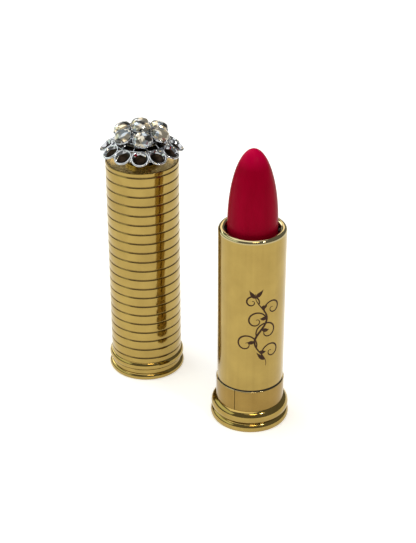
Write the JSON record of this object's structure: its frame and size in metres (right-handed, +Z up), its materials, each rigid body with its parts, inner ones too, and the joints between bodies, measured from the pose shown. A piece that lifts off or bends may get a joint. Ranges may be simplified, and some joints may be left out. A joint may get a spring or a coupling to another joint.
{
  "type": "lipstick case",
  "caption": "Swivel lipstick case: beaded foot, plain barrel that turns to raise the pomade, and a ribbed pull-off cap topped with a stone-set filigree rosette.",
  "frame": {"origin": "centre of the base's underside, on the plane that the base and the cap stand on, on the barrel's turning axis", "axes": "+Z up along the case's axis towards the pomade's tip; +X to the right and +Y away from the front; the cap stands to the left and behind"},
  "size_m": [0.0487, 0.0426, 0.0727],
  "materials": {
    "gold_plate": "bright gold plate with fine handling marks",
    "gold_ribbed": "satin gold plate, rolled grooves with dark lacquer in them",
    "bright_silver": "bright rhodium plate, darkened in the hollows",
    "steel_sleeve": "drawn, unpolished",
    "aluminium_cup": "satin",
    "core_plastic": "moulded, dull",
    "liner_plastic": "moulded, smooth",
    "washer_fibre": "dark fibre",
    "label_paper": "blank paper",
    "pomade_wax": "moulded wax with a soft satin sheen",
    "rhinestone": "clear faceted glass"
  },
  "bodies": {
    "base": {"foot_shell": "gold_plate", "foot_core": "core_plastic", "shade_label": "label_paper", "friction_collar": "gold_plate", "swivel_washer": "washer_fibre", "guide_sleeve": "steel_sleeve"},
    "barrel": {"barrel_shell": "gold_plate", "spiral_sleeve": "core_plastic"},
    "carrier": {"carrier_cup": "aluminium_cup", "guide_pins": "steel_sleeve", "pomade": "pomade_wax"},
    "cap": {"cap_shell": "gold_ribbed", "mouth_ring": "gold_plate", "cap_liner": "liner_plastic", "cap_end_plate": "gold_plate", "rosette_rivet": "bright_silver", "rivet_washer": "steel_sleeve", "rosette_standoff": "bright_silver", "filigree": "bright_silver", "centre_setting": "bright_silver", "centre_stone": "rhinestone", "ring_setting_1": "bright_silver", "ring_setting_2": "bright_silver", "ring_setting_3": "bright_silver", "ring_setting_4": "bright_silver", "ring_setting_5": "bright_silver", "ring_setting_6": "bright_silver", "ring_stone_1": "rhinestone", "ring_stone_2": "rhinestone", "ring_stone_3": "rhinestone", "ring_stone_4": "rhinestone", "ring_stone_5": "rhinestone", "ring_stone_6": "rhinestone"}
  },
  "joints": [
    {"name": "barrel_swivel", "type": "hinge", "parent": "base", "child": "barrel", "pos_m": [0, 0, 0], "axis": [0, 0, 1], "range_deg": [0, 450]},
    {"name": "carrier_rise", "type": "slide", "parent": "base", "child": "carrier", "axis": [0, 0, 1], "range_m": [-0.0211, 0]},
    {"name": "cap_lift", "type": "slide", "parent": "base", "child": "cap", "axis": [0, 0, 1], "range_m": [0, 0.08]}
  ],
  "couplings": [
    {"joint": "carrier_rise", "follows": "barrel_swivel", "m_per_rad": -0.0026738}
  ]
}
